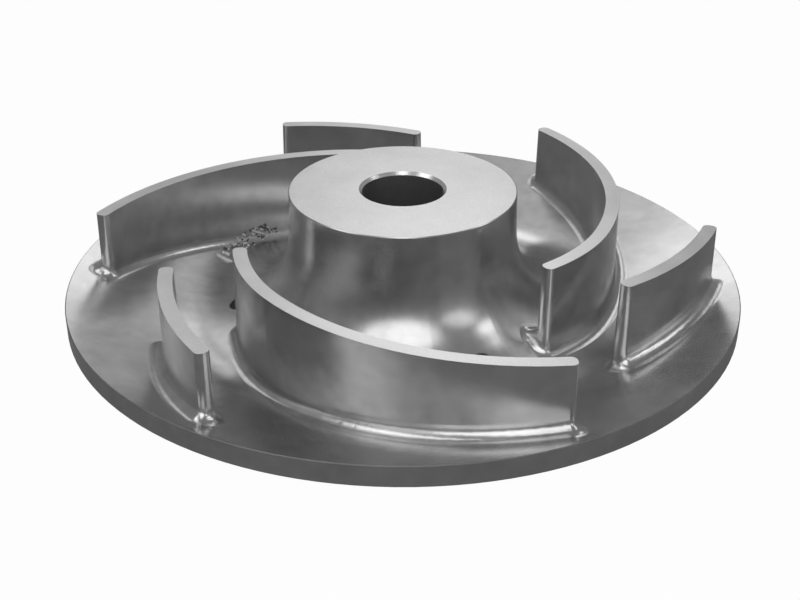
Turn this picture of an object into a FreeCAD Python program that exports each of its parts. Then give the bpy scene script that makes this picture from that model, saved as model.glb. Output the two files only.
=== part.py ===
"""Semi-open pump impeller, one casting: dished hub disc, flared hub, long vanes and splitter vanes.

Millimetres, +Z up along the shaft axis. The origin is on the axis, in the flat back face of the hub.
Angles are in degrees, counter-clockwise from +X as seen from the vane side.
"""
import FreeCAD, Part
import math
import os
from collections import namedtuple

os.makedirs("parts", exist_ok=True)

# Disc
outer_diameter = 300.0
rim_thickness = 9.3
rim_base_height = 19.5
disc_slope = 17.5
edge_break = 0.4

# Hub and bore
hub_top_diameter = 100.6
hub_rise_above_rim_base = 50.4
hub_draft = 1.5
flare_radius = 40.0
bore_diameter = 36.0
bore_chamfer = 1.4

# Vanes
long_vane_count = 3
vane_rise_above_rim_base = 34.9
vane_thickness = 6.1
vane_end_flat = 1.1
vane_draft = 0.9
root_fillet_radius = 5.0
outlet_tip_setback = 13.66
outlet_tip_azimuth = -62.31
outlet_angle = 20.88
outer_arc_radius = 126.3
outer_arc_sweep = 59.8
inner_arc_radius = 87.7
inner_arc_sweep = 31.1
splitter_sweep = 33.9

# Balance holes
balance_hole_diameter = 13.0
balance_hole_circle_radius = 73.0
balance_hole_azimuths = (61.0, -61.6, -176.4)

# Derived sizes
rim_radius = outer_diameter / 2
hub_top_radius = hub_top_diameter / 2
bore_radius = bore_diameter / 2
rim_top_height = rim_base_height + rim_thickness
hub_top_height = rim_base_height + hub_rise_above_rim_base
vane_top_height = rim_base_height + vane_rise_above_rim_base
back_face_radius = rim_radius - rim_base_height / math.tan(math.radians(disc_slope))
outlet_tip_radius = rim_radius - outlet_tip_setback
vane_corner_radius = (vane_thickness - vane_end_flat) / 2
pitch = 360 / long_vane_count
# The plane of the turned profiles passes between two vanes, just past an outlet tip.
profile_azimuth = outlet_tip_azimuth + pitch / 10

ORIGIN = FreeCAD.Vector(0, 0, 0)
AXIS = FreeCAD.Vector(0, 0, 1)

CamberArc = namedtuple("CamberArc", "centre radius start end")
Corner = namedtuple("Corner", "centre wall_azimuth wall_tangency end_tangency")


def polar(radius, degrees, height=0.0):
    """Point at a radius, an azimuth and a height."""
    angle = math.radians(degrees)
    return FreeCAD.Vector(radius * math.cos(angle), radius * math.sin(angle), height)


def profile_point(radius, height):
    """Point in the plane of the turned profiles."""
    return polar(radius, profile_azimuth, height)


def polyline(points):
    """Straight edges from each point to the next."""
    return [Part.makeLine(a, b) for a, b in zip(points, points[1:])]


def turned(edges):
    """Solid of revolution about the shaft axis from a closed run of profile edges."""
    return Part.Face(Part.Wire(edges)).revolve(ORIGIN, AXIS, 360)


def flare_arc():
    """Concave arc tangent to the disc's front cone and to the hub's drafted side, from cone to hub."""
    draft = math.radians(hub_draft)
    slope = math.radians(disc_slope)
    # The arc's centre is where the hub's side and the cone cross when both are offset by its radius:
    # one is given by its radius at height 0, the other by its height at radius 0.
    side_radius = hub_top_radius + hub_top_height * math.tan(draft) + flare_radius / math.cos(draft)
    cone_height = rim_top_height - rim_radius * math.tan(slope) + flare_radius / math.cos(slope)
    centre_height = cone_height + side_radius * math.tan(slope)
    centre_height /= 1 + math.tan(draft) * math.tan(slope)
    centre_radius = side_radius - centre_height * math.tan(draft)
    cone_end = math.radians(270 + disc_slope)
    hub_end = math.radians(180 + hub_draft)
    points = [
        profile_point(centre_radius + flare_radius * math.cos(a), centre_height + flare_radius * math.sin(a))
        for a in (cone_end, (cone_end + hub_end) / 2, hub_end)
    ]
    return Part.Arc(*points).toShape()


def disc_and_hub():
    """The turned body: flat back face, back cone, rim, dished front, flare, hub and bore."""
    flare = flare_arc()
    break_run = edge_break * math.cos(math.radians(disc_slope))
    break_fall = edge_break * math.sin(math.radians(disc_slope))
    break_spread = edge_break * math.tan(math.radians(hub_draft))
    disc = polyline([
        profile_point(bore_radius, bore_chamfer),
        profile_point(bore_radius + bore_chamfer, 0),
        profile_point(back_face_radius, 0),
        profile_point(rim_radius - break_run, rim_base_height - break_fall),
        profile_point(rim_radius, rim_base_height + edge_break),
        profile_point(rim_radius, rim_top_height - edge_break),
        profile_point(rim_radius - break_run, rim_top_height - break_fall),
        flare.firstVertex().Point,
    ])
    hub = polyline([
        flare.lastVertex().Point,
        profile_point(hub_top_radius + break_spread, hub_top_height - edge_break),
        profile_point(hub_top_radius - edge_break, hub_top_height),
        profile_point(bore_radius + bore_chamfer, hub_top_height),
        profile_point(bore_radius, hub_top_height - bore_chamfer),
        profile_point(bore_radius, bore_chamfer),
    ])
    return turned(disc + [flare] + hub)


def camber_arcs(is_splitter):
    """Arcs of a vane's centre line, clockwise from the outlet tip inward.

    The outlet tip is on +X, and the line meets the tip circle at the outlet angle.
    """
    start = -outlet_angle
    outer_centre = polar(outlet_tip_radius, 0) - polar(outer_arc_radius, start)
    if is_splitter:
        return [CamberArc(outer_centre, outer_arc_radius, start, start - splitter_sweep)]
    join = start - outer_arc_sweep
    inner_centre = outer_centre + polar(outer_arc_radius - inner_arc_radius, join)
    return [
        CamberArc(outer_centre, outer_arc_radius, start, join),
        CamberArc(inner_centre, inner_arc_radius, join, join - inner_arc_sweep),
    ]


def arc_edge(centre, radius, start, end, height):
    """Level arc at a height, from one azimuth to another about its centre."""
    lift = FreeCAD.Vector(0, 0, height)
    points = [centre + polar(radius, a) + lift for a in (start, (start + end) / 2, end)]
    return Part.Arc(*points).toShape()


def end_corner(arc, azimuth, side, outward):
    """Rounded corner between a wall and the flat end of a vane.

    The side is 1 for the wall outside the camber arc and -1 for the one inside it. Outward is
    the turning sense that leads out of the end: 1 at the outlet and -1 at the inlet. The
    corner's centre stays in place as the outline grows with the draft.
    """
    reach = arc.radius + side * (vane_thickness / 2 - vane_corner_radius)
    wall_azimuth = azimuth - outward * math.degrees(math.asin(vane_corner_radius / reach))
    wall_tangency = wall_azimuth if side > 0 else wall_azimuth + outward * 180
    end_tangency = azimuth + outward * 90
    return Corner(arc.centre + polar(reach, wall_azimuth), wall_azimuth, wall_tangency, end_tangency)


def wall_edges(arcs, offset, outlet_azimuth, inlet_azimuth, height):
    """One side of a vane, as arcs at an offset from the centre line, between its end corners."""
    edges = []
    for arc in arcs:
        start = min(arc.start, outlet_azimuth)
        end = max(arc.end, inlet_azimuth)
        edges.append(arc_edge(arc.centre, arc.radius + offset, start, end, height))
    return edges


def vane_outline(arcs, growth, height):
    """Closed outline of a vane at a height, grown all round by the draft."""
    offset = vane_thickness / 2 + growth
    corner_radius = vane_corner_radius + growth
    outlets = [end_corner(arcs[0], arcs[0].start, side, 1) for side in (1, -1)]
    inlets = [end_corner(arcs[-1], arcs[-1].end, side, -1) for side in (1, -1)]
    outer_wall = wall_edges(arcs, offset, outlets[0].wall_azimuth, inlets[0].wall_azimuth, height)
    inner_wall = wall_edges(arcs, -offset, outlets[1].wall_azimuth, inlets[1].wall_azimuth, height)
    ends = []
    for corners in (inlets, outlets):
        outer, inner = [
            arc_edge(c.centre, corner_radius, c.wall_tangency, c.end_tangency, height) for c in corners
        ]
        flat = Part.makeLine(outer.lastVertex().Point, inner.lastVertex().Point)
        ends.append([outer, flat, inner])
    inlet_end, outlet_end = ends
    return Part.Wire(outer_wall + inlet_end + inner_wall[::-1] + outlet_end[::-1])


def drafted_vane(is_splitter):
    """Vane with drafted walls and rounded ends, from the back face's plane to the vane tops."""
    arcs = camber_arcs(is_splitter)
    growth = vane_top_height * math.tan(math.radians(vane_draft))
    return Part.makeLoft([vane_outline(arcs, growth, 0), vane_outline(arcs, 0, vane_top_height)], True, True)


def foot_zone():
    """Space above the middle of the disc's thickness, where the vanes' feet end."""
    rim_middle = rim_base_height + rim_thickness / 2
    fall = (rim_radius - bore_radius) * math.tan(math.radians(disc_slope))
    corners = [
        profile_point(bore_radius, rim_middle - fall),
        profile_point(rim_radius, rim_middle),
        profile_point(rim_radius, vane_top_height),
        profile_point(bore_radius, vane_top_height),
    ]
    return turned(polyline(corners + corners[:1]))


def vanes():
    """All vanes: each long vane has a splitter half a pitch behind it."""
    zone = foot_zone()
    long_vane = drafted_vane(False).common(zone)
    splitter = drafted_vane(True).common(zone)
    placed = []
    for index in range(long_vane_count):
        azimuth = outlet_tip_azimuth + index * pitch
        placed.append(long_vane.rotated(ORIGIN, AXIS, azimuth))
        placed.append(splitter.rotated(ORIGIN, AXIS, azimuth - pitch / 2))
    return placed


def root_edges(casting, tolerance=0.01):
    """Edges where the vanes' walls stand on the disc."""
    edges = []
    for face in casting.Faces:
        heights = [v.Z for v in face.Vertexes]
        is_wall = max(heights) - min(heights) > tolerance
        if is_wall and abs(max(heights) - vane_top_height) < tolerance:
            edges += [e for e in face.Edges if max(v.Z for v in e.Vertexes) < vane_top_height - tolerance]
    return edges


def balance_holes():
    """Drilled holes through the disc, beside the hub."""
    centres = [polar(balance_hole_circle_radius, azimuth) for azimuth in balance_hole_azimuths]
    return [Part.makeCylinder(balance_hole_diameter / 2, hub_top_height, centre, AXIS) for centre in centres]


def impeller():
    """The finished casting."""
    casting = disc_and_hub().fuse(vanes()).removeSplitter()
    casting = casting.makeFillet(root_fillet_radius, root_edges(casting))
    return casting.cut(balance_holes())


impeller().exportStep("parts/impeller.step")
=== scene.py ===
"""Visual model of a semi-open cast pump impeller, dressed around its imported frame.

Metres, in the part's own frame: +Z up along the shaft axis, the origin in the hub's flat back face.
"""

import logging
import math
from collections.abc import Mapping
from dataclasses import dataclass
from enum import Enum
from typing import Any

import bpy
import numpy as np
from mathutils import Matrix, Vector
from mathutils.bvhtree import BVHTree


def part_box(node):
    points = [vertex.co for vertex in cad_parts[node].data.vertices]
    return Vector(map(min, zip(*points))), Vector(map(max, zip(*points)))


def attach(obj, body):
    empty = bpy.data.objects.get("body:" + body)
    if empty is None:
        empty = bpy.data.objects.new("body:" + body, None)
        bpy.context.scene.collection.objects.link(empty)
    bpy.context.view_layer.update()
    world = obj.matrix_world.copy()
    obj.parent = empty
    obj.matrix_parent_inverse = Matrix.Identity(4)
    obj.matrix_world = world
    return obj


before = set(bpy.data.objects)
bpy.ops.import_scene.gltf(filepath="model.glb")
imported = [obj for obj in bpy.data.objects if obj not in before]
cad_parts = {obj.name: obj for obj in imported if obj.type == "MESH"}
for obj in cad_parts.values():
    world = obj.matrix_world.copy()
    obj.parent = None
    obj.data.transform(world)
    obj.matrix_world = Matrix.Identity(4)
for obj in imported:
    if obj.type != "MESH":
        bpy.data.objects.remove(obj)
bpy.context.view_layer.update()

LOG = logging.getLogger("impeller")
MM = 0.001
NODE = "impeller"
BODY = "root"
WHITE = (1.0, 1.0, 1.0, 1.0)
# The middle of a noise texture's range.
NOISE_MIDDLE = 0.5

Triple = tuple[float, float, float]


class Operation(Enum):
    """The operations of a Math node that the finishes use."""

    ADD = "ADD"
    SUBTRACT = "SUBTRACT"
    MULTIPLY = "MULTIPLY"
    POWER = "POWER"
    GREATER_THAN = "GREATER_THAN"
    LESS_THAN = "LESS_THAN"
    MINIMUM = "MINIMUM"
    MAXIMUM = "MAXIMUM"
    SINE = "SINE"


class Signal:
    """A number on a node's output that takes part in arithmetic; each operation adds one Math node."""

    def __init__(self, graph: "Graph", socket: bpy.types.NodeSocket) -> None:
        """Wrap an output socket of the graph."""
        self.graph = graph
        self.socket = socket

    def _math(self, operation: Operation, *values: "Signal | float") -> "Signal":
        """Add a Math node on the given values."""
        node = self.graph.add("ShaderNodeMath", {"operation": operation.value}, dict(enumerate(values)))
        return Signal(self.graph, node.outputs[0])

    def __add__(self, other: "Signal | float") -> "Signal":
        """Sum."""
        return self._math(Operation.ADD, self, other)

    def __radd__(self, other: float) -> "Signal":
        """Sum with a number on the left."""
        return self._math(Operation.ADD, other, self)

    def __sub__(self, other: "Signal | float") -> "Signal":
        """Difference."""
        return self._math(Operation.SUBTRACT, self, other)

    def __rsub__(self, other: float) -> "Signal":
        """Difference from a number on the left."""
        return self._math(Operation.SUBTRACT, other, self)

    def __mul__(self, other: "Signal | float") -> "Signal":
        """Product."""
        return self._math(Operation.MULTIPLY, self, other)

    def __rmul__(self, other: float) -> "Signal":
        """Product with a number on the left."""
        return self._math(Operation.MULTIPLY, other, self)

    def __pow__(self, other: float) -> "Signal":
        """Power."""
        return self._math(Operation.POWER, self, other)

    def above(self, limit: float) -> "Signal":
        """1 where the number is over the limit, else 0."""
        return self._math(Operation.GREATER_THAN, self, limit)

    def below(self, limit: float) -> "Signal":
        """1 where the number is under the limit, else 0."""
        return self._math(Operation.LESS_THAN, self, limit)

    def sine(self) -> "Signal":
        """Sine of the number in radians."""
        return self._math(Operation.SINE, self)

    def clamped(self) -> "Signal":
        """The number kept between 0 and 1."""
        return self._math(Operation.MINIMUM, self._math(Operation.MAXIMUM, self, 0.0), 1.0)


class Graph:
    """The node tree of a material or of the world."""

    def __init__(self, tree: bpy.types.NodeTree) -> None:
        """Empty the tree and take it over."""
        self.tree = tree
        tree.nodes.clear()

    def add(
        self,
        kind: str,
        settings: Mapping[str, Any] | None = None,
        inputs: Mapping[str | int, Any] | None = None,
    ) -> bpy.types.Node:
        """Add a node.

        Args:
            kind: The node's type.
            settings: Its properties, set before anything else.
            inputs: A value, a socket or a Signal for each named or numbered input.

        Returns:
            The new node.
        """
        node = self.tree.nodes.new(kind)
        for name, value in (settings or {}).items():
            setattr(node, name, value)
        for key, value in (inputs or {}).items():
            source = value.socket if isinstance(value, Signal) else value
            if isinstance(source, bpy.types.NodeSocket):
                self.tree.links.new(source, node.inputs[key])
            else:
                node.inputs[key].default_value = source
        return node

    def signal(self, node: bpy.types.Node, output: str | int = 0) -> Signal:
        """One output of a node as a number."""
        return Signal(self, node.outputs[output])

    def place(self) -> bpy.types.NodeSocket:
        """The place on the piece, in metres."""
        return self.add("ShaderNodeTexCoord").outputs["Object"]

    def noise(
        self, place: bpy.types.NodeSocket, size: float, detail: float, raggedness: float = 0.5
    ) -> Signal:
        """Add a noise around zero, from about -0.5 to 0.5.

        Args:
            place: The place on the piece.
            size: The size of its features, in metres.
            detail: How many finer layers it has.
            raggedness: How strong each finer layer is, as a share of the one before.

        Returns:
            The noise.
        """
        inputs = {"Vector": place, "Scale": 1 / size, "Detail": detail, "Roughness": raggedness}
        return self.signal(self.add("ShaderNodeTexNoise", inputs=inputs)) - NOISE_MIDDLE


def blank_material(name: str) -> tuple[bpy.types.Material, Graph]:
    """Make a material with an empty node tree.

    Args:
        name: The material's name.

    Returns:
        The material and its graph.
    """
    material = bpy.data.materials.new(name)
    material.use_nodes = True
    return material, Graph(material.node_tree)


def link_object(name: str, data: bpy.types.ID) -> bpy.types.Object:
    """Make an object and link it to the scene.

    Args:
        name: The object's name.
        data: Its mesh, lamp or camera.

    Returns:
        The object, at the origin.
    """
    item = bpy.data.objects.new(name, data)
    bpy.context.scene.collection.objects.link(item)
    return item


@dataclass(frozen=True)
class Look:
    """Grey, roughness and relief height of a finish, as numbers in a graph; the height is in metres."""

    grey: Signal
    roughness: Signal
    height: Signal

    def over(self, under: "Look", mask: Signal) -> "Look":
        """Lay this look over another one.

        Args:
            under: The look that shows where the mask is 0.
            mask: 1 where this look shows.

        Returns:
            The two looks as one.
        """
        return Look(
            under.grey + (self.grey - under.grey) * mask,
            under.roughness + (self.roughness - under.roughness) * mask,
            under.height + (self.height - under.height) * mask,
        )


def finish_steel(graph: Graph, look: Look, metallic: float) -> None:
    """Close a graph as steel.

    Args:
        graph: The material's graph.
        look: Its grey, roughness and relief.
        metallic: The share of bare metal; the rest stands for the steel's thin oxide.
    """
    relief = graph.add("ShaderNodeBump", inputs={"Strength": 1.0, "Distance": 1.0, "Height": look.height})
    steel = graph.add(
        "ShaderNodeBsdfPrincipled",
        inputs={
            "Metallic": metallic,
            "Base Color": look.grey,
            "Roughness": look.roughness,
            "Normal": relief.outputs["Normal"],
        },
    )
    graph.add("ShaderNodeOutputMaterial", inputs={"Surface": steel.outputs["BSDF"]})


@dataclass(frozen=True)
class CastSkin:
    """Shot-blasted and lightly polished cast steel: a soft shine under a cloudy mottle."""

    grey: float = 0.50
    grey_swing: float = 0.26
    roughness: float = 0.24
    roughness_swing: float = 0.05
    cloud_size: float = 22 * MM
    cloud_detail: float = 3.0
    cloud_raggedness: float = 0.55
    blotch_size: float = 6 * MM
    blotch_share: float = 0.5
    grain_size: float = 0.9 * MM
    grain_height: float = 0.0002 * MM
    fine_detail: float = 2.0

    def look(self, graph: Graph, place: bpy.types.NodeSocket) -> Look:
        """Work out the look: clouds with fainter blotches in grey and shine, and a grain in relief.

        Args:
            graph: The material's graph.
            place: The place on the piece.

        Returns:
            The look of the skin.
        """
        clouds = graph.noise(place, self.cloud_size, self.cloud_detail, self.cloud_raggedness)
        blotches = graph.noise(place, self.blotch_size, self.fine_detail)
        grain = graph.noise(place, self.grain_size, self.fine_detail)
        mottle = clouds + blotches * self.blotch_share
        grey = self.grey + mottle * self.grey_swing
        roughness = self.roughness + mottle * self.roughness_swing
        return Look(grey, roughness, grain * self.grain_height)


@dataclass(frozen=True)
class MachinedFace:
    """Turned and faced steel: lighter, with a fine circular lay about the shaft axis."""

    grey: float = 0.56
    grey_swing: float = 0.14
    roughness: float = 0.30
    roughness_swing: float = 0.07
    cloud_size: float = 16 * MM
    cloud_detail: float = 2.0
    grain_size: float = 0.8 * MM
    grain_detail: float = 1.0
    lay_pitch: float = 0.5 * MM
    lay_height: float = 0.0015 * MM

    def look(self, graph: Graph, place: bpy.types.NodeSocket, radius: Signal) -> Look:
        """Work out the look: clouds and grain in grey, clouds in shine, and rings in relief.

        The height of the rings is a sine of the radius.

        Args:
            graph: The material's graph.
            place: The place on the piece.
            radius: The distance from the shaft axis.

        Returns:
            The look of the face.
        """
        clouds = graph.noise(place, self.cloud_size, self.cloud_detail)
        grain = graph.noise(place, self.grain_size, self.grain_detail)
        grey = self.grey + (clouds + grain) * self.grey_swing
        roughness = self.roughness + clouds * self.roughness_swing
        rings = (radius * (2 * math.pi / self.lay_pitch)).sine()
        return Look(grey, roughness, rings * self.lay_height)


@dataclass(frozen=True)
class SteelRegions:
    """Where each finish is, by height above the back face and distance from the shaft axis.

    The margin takes in the faces that lie right on a limit.
    """

    hub_face_height: float
    vane_top_height: float = 54.4 * MM
    vane_least_radius: float = 60 * MM
    bore_radius: float = 18.0 * MM
    bore_chamfer: float = 1.4 * MM
    rim_radius: float = 150.0 * MM
    rim_top_height: float = 28.8 * MM
    edge_break: float = 0.4 * MM
    margin: float = 0.05 * MM

    def machined(self, height: Signal, radius: Signal) -> Signal:
        """Mark the hub's face and the vane tops.

        Args:
            height: The height above the back face.
            radius: The distance from the shaft axis.

        Returns:
            1 there, else 0.
        """
        hub_face = height.above(self.hub_face_height - self.margin)
        vane_tops = height.above(self.vane_top_height - self.margin) * radius.above(self.vane_least_radius)
        return (hub_face + vane_tops).clamped()

    def rim_edge(self, height: Signal, radius: Signal) -> Signal:
        """1 on the narrow break between the disc's front and its rim, else 0."""
        reach = self.edge_break + self.margin
        return radius.above(self.rim_radius - reach) * height.above(self.rim_top_height - reach)

    def chamfer_painted_highlight(self, radius: Signal) -> Signal:
        """1 on the bore's chamfers and its wall, else 0; the chamfers carry a painted highlight."""
        return radius.below(self.bore_radius + self.bore_chamfer + self.margin)

    def bore_painted_shade(self, radius: Signal) -> Signal:
        """1 on the wall of the bore, where it is painted darker as shade, else 0."""
        return radius.below(self.bore_radius + self.margin)


@dataclass(frozen=True)
class ImpellerSteel:
    """The casting's one material: its cast skin, machined faces, a bore wall darkened as painted shade,
    chamfers lightened as a painted highlight, and a rim edge darkened as painted shade.
    """

    regions: SteelRegions
    cast: CastSkin = CastSkin()
    # Painted shade: the rim's narrow edge break is painted dark grey to dim its highlight; its higher
    # roughness is part of the finish.
    rim_edge_painted_shade: CastSkin = CastSkin(grey=0.22, grey_swing=0.12, roughness=0.6)
    machined: MachinedFace = MachinedFace()
    # Painted highlight: the chamfers are a lighter grey than the other turned faces, to brighten their
    # highlight.
    chamfer_painted_highlight: MachinedFace = MachinedFace(grey=0.75, roughness=0.24)
    # Painted shade: the bore wall's dark grey stands for the shade deep in the bore; its rougher lay is the
    # bored finish.
    bore_painted_shade: MachinedFace = MachinedFace(grey=0.27, grey_swing=0.08, roughness=0.45, roughness_swing=0.04)
    metallic: float = 0.9
    name: str = "cast_steel_polished"

    def material(self) -> bpy.types.Material:
        """Build the material, each finish laid over the ones before it.

        Returns:
            A metal whose finish follows Object coordinates.
        """
        material, graph = blank_material(self.name)
        place = graph.place()
        axes = graph.add("ShaderNodeSeparateXYZ", inputs={"Vector": place})
        across, along, height = (graph.signal(axes, name) for name in "XYZ")
        radius = (across * across + along * along) ** 0.5
        look = self.cast.look(graph, place)
        # Painted shade on the rim's edge break.
        look = self.rim_edge_painted_shade.look(graph, place).over(look, self.regions.rim_edge(height, radius))
        machined = self.machined.look(graph, place, radius)
        look = machined.over(look, self.regions.machined(height, radius))
        # Painted highlight on the bore's chamfers.
        look = self.chamfer_painted_highlight.look(graph, place, radius).over(look, self.regions.chamfer_painted_highlight(radius))
        # Painted shade on the bore wall.
        look = self.bore_painted_shade.look(graph, place, radius).over(look, self.regions.bore_painted_shade(radius))
        finish_steel(graph, look, self.metallic)
        return material


@dataclass(frozen=True)
class PlainSkin:
    """One cast skin all over, for the small pieces on the casting."""

    skin: CastSkin
    metallic: float

    def material(self, name: str) -> bpy.types.Material:
        """Build the material.

        Args:
            name: The material's name.

        Returns:
            A dull steel whose mottle follows Object coordinates.
        """
        material, graph = blank_material(name)
        finish_steel(graph, self.skin.look(graph, graph.place()), self.metallic)
        return material


@dataclass(frozen=True)
class Lump:
    """A small rounded lump: a spot near the surface, its full sizes and the heading of its length.

    The spot and the sizes are in millimetres. The squareness runs from 1 for an egg towards 0 for a
    block.
    """

    spot: Triple
    size: Triple
    heading: Triple = (1.0, 0.5, 0.0)
    squareness: float = 1.0


@dataclass(frozen=True)
class Crumbs:
    """The smallest lumps of the ragged patch, scattered about a line along the vane's foot.

    All in millimetres but the stretch, the most that a lump is lengthened by as a factor. The spread is
    the standard deviation about the line.
    """

    count: int
    seed: int
    start: Triple = (-87.5, 53.0, 14.0)
    end: Triple = (-66.0, 69.3, 17.6)
    spread: Triple = (0.9, 0.9, 1.5)
    least_size: float = 0.5
    most_size: float = 1.0
    most_stretch: float = 2.0

    def lumps(self) -> tuple[Lump, ...]:
        """Draw the spots, sizes and headings.

        Returns:
            The lumps, the same ones on each run.
        """
        draw = np.random.default_rng(self.seed)
        start, end = np.array(self.start), np.array(self.end)
        share = draw.random((self.count, 1))
        spots = start + (end - start) * share + draw.normal(size=(self.count, 3)) * self.spread
        sizes = draw.uniform(self.least_size, self.most_size, (self.count, 3))
        sizes[:, 0] *= draw.uniform(1.0, self.most_stretch, self.count)
        headings = draw.normal(size=(self.count, 3))
        rows = zip(spots.tolist(), sizes.tolist(), headings.tolist())
        return tuple(Lump(tuple(spot), tuple(size), tuple(heading)) for spot, size, heading in rows)


class CastSurface:
    """The casting's surface, on which the small pieces are seated."""

    def __init__(self, casting: bpy.types.Object) -> None:
        """Index the casting's faces."""
        self.tree = BVHTree.FromObject(casting, bpy.context.evaluated_depsgraph_get())

    def seat(self, lump: Lump) -> Matrix:
        """Find the seat for a lump.

        Args:
            lump: The lump, whose length runs along its heading as far as the surface lets it.

        Returns:
            A matrix whose origin is the surface point nearest to its spot, with Z out of the metal.
        """
        place, outward, _, _ = self.tree.find_nearest(Vector(lump.spot) * MM)
        across = outward.cross(Vector(lump.heading)).normalized()
        along = across.cross(outward)
        turn = Matrix((along, across, outward)).transposed()
        return Matrix.Translation(place) @ turn.to_4x4()


def egg_grid(columns: int, rows: int, squareness: float) -> tuple[np.ndarray, np.ndarray]:
    """Work out a unit superellipsoid with closed poles.

    The point at a longitude and a latitude is c(latitude) c(longitude), c(latitude) s(longitude),
    s(latitude), where c and s are the cosine and the sine with their size raised to the squareness
    and their sign kept.

    Args:
        columns: Divisions around.
        rows: Bands from pole to pole.
        squareness: 1 for a sphere, less for a rounded block.

    Returns:
        The points, and the faces as four corner numbers each, with a corner repeated at the poles.
    """
    longitude = np.linspace(0, 2 * math.pi, columns, endpoint=False)
    latitude = np.linspace(-math.pi / 2, math.pi / 2, rows + 1)[1:-1]

    def swollen(values: np.ndarray) -> np.ndarray:
        """Raise the size to the squareness and keep the sign."""
        return np.sign(values) * np.abs(values) ** squareness

    level, lift = swollen(np.cos(latitude))[:, None], swollen(np.sin(latitude))[:, None]
    around = swollen(np.cos(longitude)), swollen(np.sin(longitude))
    rings = np.stack([level * around[0], level * around[1], lift * np.ones(columns)], axis=-1)
    points = np.vstack([rings.reshape(-1, 3), [[0, 0, -1], [0, 0, 1]]])
    here = np.arange(columns)
    after = (here + 1) % columns
    bands = np.arange(rows - 2)[:, None] * columns
    quads = np.stack([bands + here, bands + after, bands + columns + after, bands + columns + here], axis=-1)
    south, north = np.full(columns, len(points) - 2), np.full(columns, len(points) - 1)
    top = (rows - 2) * columns
    south_fan = np.stack([after, here, south, south], axis=-1)
    north_fan = np.stack([top + here, top + after, north, north], axis=-1)
    return points, np.vstack([quads.reshape(-1, 4), south_fan, north_fan])


def mesh_piece(name: str, points: np.ndarray, quads: np.ndarray) -> bpy.types.Object:
    """Make a smooth-shaded mesh object.

    Args:
        name: The object's name.
        points: Its vertices, in metres.
        quads: Four corner numbers a face; a repeated last corner makes a triangle.

    Returns:
        The object, linked to the scene.
    """
    faces = [row[:3] if row[2] == row[3] else row for row in quads.tolist()]
    mesh = bpy.data.meshes.new(name)
    mesh.from_pydata(points, [], faces)
    mesh.polygons.foreach_set("use_smooth", np.ones(len(faces), dtype=bool))
    mesh.validate()
    return link_object(name, mesh)


@dataclass(frozen=True)
class RootLumps:
    """Small lumps at the foot of the rear long vane: the lighter ones are lumps left by the mould, their
    light grey a painted glint, and the near-black ones are painted shade that stands for shaded pits.

    Each is an egg, half of it in the metal, that swells and shrinks by a share, its wobble, with the
    sine of a neighbouring coordinate. The sine starts further on from one lump to the next.
    """

    name: str
    lumps: tuple[Lump, ...]
    finish: PlainSkin
    columns: int = 20
    rows: int = 12
    wobble: float = 0.16
    wobble_angle: float = 3.1
    wobble_start: float = 1.7

    def build(self, surface: CastSurface) -> bpy.types.Object:
        """Build all the lumps as one piece and dress it.

        Args:
            surface: The surface that they are seated on.

        Returns:
            The piece, riding on the casting's body.
        """
        points, faces = [], []
        for index, lump in enumerate(self.lumps):
            grid, quads = egg_grid(self.columns, self.rows, lump.squareness)
            angles = grid[:, [1, 2, 0]] * self.wobble_angle + index * self.wobble_start
            sized = grid * (1 + self.wobble * np.sin(angles)) * np.array(lump.size) / 2 * MM
            seat = np.array(surface.seat(lump))
            points.append(sized @ seat[:3, :3].T + seat[:3, 3])
            faces.append(quads + index * len(grid))
        piece = mesh_piece(self.name, np.vstack(points), np.vstack(faces))
        piece.data.materials.append(self.finish.material(self.name + "_skin"))
        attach(piece, BODY)
        return piece


@dataclass(frozen=True)
class PhotoCamera:
    """The camera, at the photograph's viewing angle.

    Its place is in metres, its pitch in degrees, its focal length in pixels of the photograph and its
    sensor's width in millimetres.
    """

    place: Triple = (-0.00123, -0.51239, 0.29180)
    pitch_down: float = 28.472
    focal_pixels: float = 1263.5
    image_width: int = 800
    sensor_width: float = 36.0
    name: str = "photo_camera"

    def build(self) -> bpy.types.Object:
        """Create the camera and make it the scene's.

        Returns:
            The camera.
        """
        data = bpy.data.cameras.new(self.name)
        data.sensor_width = self.sensor_width
        data.lens = self.focal_pixels * self.sensor_width / self.image_width
        camera = link_object(self.name, data)
        camera.location = self.place
        camera.rotation_euler = (math.radians(90 - self.pitch_down), 0, 0)
        bpy.context.scene.camera = camera
        return camera


@dataclass(frozen=True)
class SoftBox:
    """An oval studio lamp that faces the impeller; its radiance is the level at which it is seen.

    The azimuth and the elevation are in degrees, as seen from the impeller's middle, and the other
    sizes in metres.
    """

    name: str
    azimuth: float
    elevation: float
    width: float
    height: float
    radiance: float
    distance: float = 2.0

    def build(self, target: Vector) -> bpy.types.Object:
        """Hang the lamp and turn it to the target.

        Its power is its radiance times its area times pi, as for any surface that shines evenly.

        Args:
            target: The point that it faces.

        Returns:
            The lamp.
        """
        data = bpy.data.lights.new(self.name, "AREA")
        data.shape = "ELLIPSE"
        data.size = self.width
        data.size_y = self.height
        area = math.pi / 4 * self.width * self.height
        data.energy = self.radiance * math.pi * area
        azimuth, elevation = math.radians(self.azimuth), math.radians(self.elevation)
        level = math.cos(elevation)
        outward = Vector((level * math.cos(azimuth), level * math.sin(azimuth), math.sin(elevation)))
        lamp = link_object(self.name, data)
        lamp.location = target + outward * self.distance
        lamp.rotation_euler = outward.to_track_quat("Z", "Y").to_euler()
        return lamp


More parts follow.
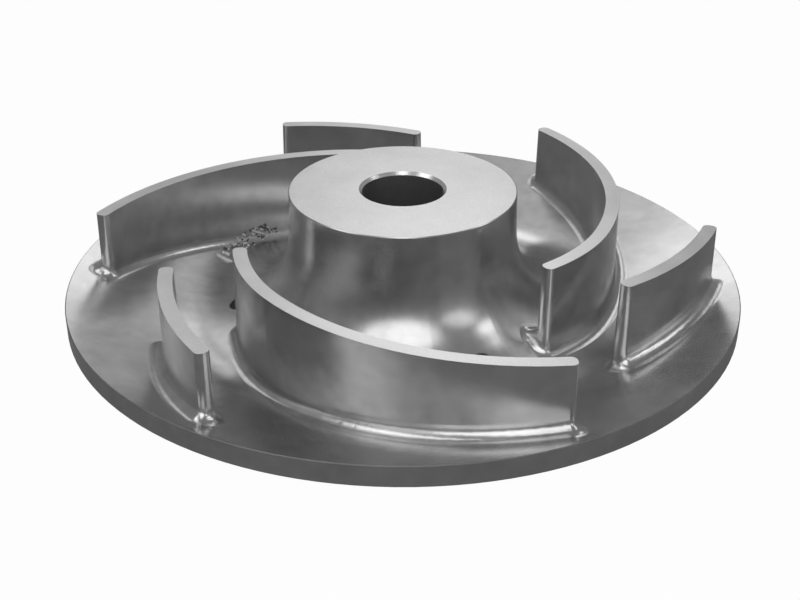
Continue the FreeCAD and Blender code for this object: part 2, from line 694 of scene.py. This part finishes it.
@dataclass(frozen=True)
class Studio:
    """The pale floor, the white background and the soft lamps.

    A floor share is how much of the floor is plain white, as seen or as mirrored in the metal; the rest
    of it is matt grey.
    """

    floor_half_width: float = 3.0
    floor_drop: float = 0.02 * MM
    floor_grey: float = 0.18
    floor_share_seen: float = 0.98
    floor_share_mirrored: float = 0.04
    world_grey: float = 0.24
    lamps: tuple[SoftBox, ...] = (
        SoftBox("front_window", -92.0, 42.0, 1.95, 1.35, 1.85),
        SoftBox("front_left_softbox", -140.0, 35.0, 1.2, 1.2, 0.8),
        SoftBox("front_right_softbox", -38.0, 23.0, 1.0, 0.55, 1.3),
        SoftBox("right_softbox", -13.0, 32.0, 0.45, 0.45, 2.7),
        SoftBox("high_right_softbox", 4.0, 38.0, 0.6, 0.6, 2.1),
        SoftBox("high_left_softbox", 157.0, 65.0, 1.0, 0.9, 1.7),
        SoftBox("high_front_softbox", -175.0, 54.0, 0.9, 0.7, 1.6),
        SoftBox("overhead_softbox", -90.0, 66.0, 0.75, 0.34, 2.2),
        SoftBox("rear_softbox", 86.0, 33.0, 0.75, 0.5, 1.4),
        SoftBox("rear_low_softbox", 89.0, 26.0, 0.9, 1.0, 0.5),
        SoftBox("rear_high_softbox", 100.0, 47.0, 0.8, 0.5, 0.6),
        SoftBox("rear_left_softbox", 115.0, 34.0, 0.7, 0.8, 0.9),
        SoftBox("rear_right_softbox", 60.0, 34.0, 0.6, 0.6, 1.6),
    )

    def build(self, target: Vector) -> None:
        """Set up the world, the floor and the lamps.

        Args:
            target: The point that the lamps face.
        """
        self._world()
        self._floor()
        for lamp in self.lamps:
            lamp.build(target)

    def _world(self) -> None:
        """Make the world: white for the camera, and an even grey for everything else."""
        world = bpy.data.worlds.new("studio_world")
        world.use_nodes = True
        bpy.context.scene.world = world
        graph = Graph(world.node_tree)
        seen = graph.signal(graph.add("ShaderNodeLightPath"), "Is Camera Ray")
        strength = self.world_grey + seen * (1 - self.world_grey)
        background = graph.add("ShaderNodeBackground", inputs={"Color": WHITE, "Strength": strength})
        graph.add("ShaderNodeOutputWorld", inputs={"Surface": background.outputs["Background"]})

    def _floor(self) -> None:
        """Lay a square floor just under the impeller's back face."""
        half, level = self.floor_half_width, -self.floor_drop
        corners = [(-half, -half, level), (half, -half, level), (half, half, level), (-half, half, level)]
        mesh = bpy.data.meshes.new("studio_floor")
        mesh.from_pydata(corners, [], [(0, 1, 2, 3)])
        mesh.materials.append(self._floor_material())
        floor = link_object("studio_floor", mesh)

    def _floor_material(self) -> bpy.types.Material:
        """Build the floor's material.

        Returns:
            A matt grey that keeps the shadow, mixed with plain white by the kind of ray that sees it.
        """
        material, graph = blank_material("studio_floor_white")
        grey = (self.floor_grey, self.floor_grey, self.floor_grey, 1.0)
        matt = graph.add("ShaderNodeBsdfDiffuse", inputs={"Color": grey})
        glow = graph.add("ShaderNodeEmission", inputs={"Color": WHITE, "Strength": 1.0})
        path = graph.add("ShaderNodeLightPath")
        seen = graph.signal(path, "Is Camera Ray")
        mirrored = graph.signal(path, "Is Glossy Ray") + graph.signal(path, "Is Transmission Ray")
        share = seen * self.floor_share_seen + mirrored * self.floor_share_mirrored
        mixed = graph.add(
            "ShaderNodeMixShader", inputs={0: share, 1: matt.outputs["BSDF"], 2: glow.outputs["Emission"]}
        )
        graph.add("ShaderNodeOutputMaterial", inputs={"Surface": mixed.outputs["Shader"]})
        return material


# The larger lumps of the ragged patch, placed along the vane's foot.
DOWN_THE_FILLET = (0.84, -0.54, -0.2)
DOWN_THE_WALL = (0.83, 0.33, -0.46)
# Bars left by the mould, whose light grey is a painted glint.
PAINTED_GLINT_BARS = (
    Lump((-88.1, 44.9, 13.0), (9.4, 1.6, 1.7), DOWN_THE_FILLET, 0.35),
    Lump((-72.8, 66.5, 16.9), (7.2, 0.9, 1.9), DOWN_THE_WALL, 0.5),
    Lump((-87.0, 49.4, 13.2), (3.2, 1.0, 1.4), DOWN_THE_FILLET, 0.6),
)
# Beads left by the mould, whose light grey is a painted glint.
PAINTED_GLINT_BEADS = (
    Lump((-80.1, 62.8, 17.4), (1.0, 1.0, 1.9)),
    Lump((-82.0, 60.7, 15.1), (1.2, 1.2, 1.5)),
    Lump((-79.6, 61.8, 14.5), (1.0, 1.0, 1.5)),
    Lump((-79.5, 60.4, 13.5), (1.6, 1.2, 1.3)),
    Lump((-83.8, 58.2, 14.1), (1.5, 1.1, 1.2)),
    Lump((-77.5, 59.7, 12.7), (1.6, 1.0, 1.4)),
    Lump((-86.5, 55.8, 14.1), (1.2, 1.0, 1.0)),
    Lump((-87.9, 55.7, 14.7), (1.1, 1.1, 1.2)),
    Lump((-86.7, 53.3, 13.6), (1.0, 1.0, 1.6)),
    Lump((-88.8, 49.9, 13.7), (1.3, 1.2, 1.4)),
    Lump((-86.8, 49.8, 13.2), (2.6, 1.2, 1.4)),
    Lump((-66.1, 69.0, 15.0), (0.8, 0.8, 1.2)),
    Lump((-68.0, 68.7, 18.5), (0.8, 0.8, 1.0)),
    Lump((-85.2, 58.0, 14.7), (1.0, 0.8, 1.0)),
    Lump((-74.8, 65.4, 16.2), (1.6, 0.8, 0.9)),
    Lump((-70.9, 67.4, 18.0), (1.2, 0.7, 0.8)),
    Lump((-78.3, 57.7, 12.6), (0.9, 0.9, 1.0)),
    Lump((-76.8, 63.7, 14.7), (0.9, 0.7, 0.8)),
    Lump((-69.0, 67.2, 14.2), (0.9, 0.8, 0.9)),
    Lump((-82.9, 60.8, 16.1), (0.8, 0.8, 1.0)),
)
# Near-black beads: painted shade that stands for shaded pits.
PAINTED_SHADE_BEADS = (
    Lump((-69.8, 67.9, 20.5), (1.4, 1.0, 1.2)),
    Lump((-71.8, 67.0, 19.8), (2.4, 1.1, 1.2)),
    Lump((-70.4, 67.7, 19.0), (1.4, 1.0, 1.1)),
    Lump((-68.5, 68.5, 17.5), (1.2, 1.2, 1.5)),
    Lump((-67.6, 68.8, 16.2), (1.0, 1.0, 1.1)),
    Lump((-64.6, 70.1, 17.3), (1.4, 1.2, 1.5)),
    Lump((-64.1, 70.0, 15.6), (1.1, 1.0, 0.9)),
    Lump((-76.6, 64.6, 18.8), (1.5, 1.1, 1.1)),
    Lump((-71.0, 66.2, 14.1), (1.4, 1.2, 1.5)),
    Lump((-72.9, 65.8, 14.8), (2.0, 0.8, 0.9)),
    Lump((-80.6, 61.7, 15.2), (1.0, 1.0, 1.4)),
    Lump((-88.7, 53.4, 14.2), (1.4, 1.2, 1.5)),
    Lump((-78.2, 62.4, 14.2), (1.0, 1.0, 1.3)),
    Lump((-82.4, 59.2, 14.1), (1.0, 0.9, 0.9)),
    Lump((-78.7, 63.3, 16.1), (0.8, 0.8, 0.9)),
    Lump((-75.2, 65.4, 19.5), (1.1, 0.9, 0.8)),
    Lump((-66.5, 69.3, 17.1), (0.8, 0.8, 0.8)),
    Lump((-85.0, 55.7, 13.6), (1.0, 0.9, 0.9)),
    Lump((-87.7, 53.0, 13.8), (0.9, 0.9, 0.9)),
    Lump((-80.4, 59.5, 13.4), (0.9, 0.8, 0.9)),
)


@dataclass(frozen=True)
class Impeller:
    """The casting, dressed in its steel, with the ragged patch of small lumps on it."""

    # Scattered mould lumps, whose light grey is a painted glint.
    painted_glint_crumbs: Crumbs = Crumbs(count=24, seed=3)
    # Near-black eggs scattered as painted shade for shaded pits.
    painted_shade_crumbs: Crumbs = Crumbs(count=34, seed=5)
    # Light grey skin: a painted glint on the mould lumps.
    painted_glint: PlainSkin = PlainSkin(CastSkin(grey=0.62, grey_swing=0.40, roughness=0.35), metallic=0.3)
    # Near-black skin: painted shade.
    painted_shade: PlainSkin = PlainSkin(CastSkin(grey=0.07, grey_swing=0.05, roughness=0.5), metallic=0.5)

    def dress(self) -> bpy.types.Object:
        """Give the casting its finished material.

        Returns:
            The casting.
        """
        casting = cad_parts[NODE]
        hub_face_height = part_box(NODE)[1].z
        casting.material_slots[0].material = ImpellerSteel(SteelRegions(hub_face_height)).material()
        return casting

    def add_lumps(self, surface: CastSurface) -> list[bpy.types.Object]:
        """Seat the lumps with a painted glint and the near-black lumps of painted shade at the foot of the
        rear long vane.

        Args:
            surface: The casting's surface.

        Returns:
            The two pieces.
        """
        painted_glint_lumps = PAINTED_GLINT_BARS + PAINTED_GLINT_BEADS + self.painted_glint_crumbs.lumps()
        painted_shade_lumps = PAINTED_SHADE_BEADS + self.painted_shade_crumbs.lumps()
        painted_glint = RootLumps("painted_glint_lumps", painted_glint_lumps, self.painted_glint)
        painted_shade = RootLumps("painted_shade_lumps", painted_shade_lumps, self.painted_shade)
        return [painted_glint.build(surface), painted_shade.build(surface)]

    def centre(self) -> Vector:
        """The middle of the casting's box."""
        low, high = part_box(NODE)
        return (low + high) / 2


def main() -> None:
    """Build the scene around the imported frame."""
    logging.basicConfig(level=logging.INFO, format="%(name)s: %(message)s")
    bpy.context.scene.view_settings.view_transform = "Standard"
    impeller = Impeller()
    casting = impeller.dress()
    for piece in [casting, *impeller.add_lumps(CastSurface(casting))]:
        LOG.info("%s: %d faces in %s", piece.name, len(piece.data.polygons), piece.active_material.name)
    PhotoCamera().build()
    Studio().build(impeller.centre())


if __name__ == "__main__":
    main()
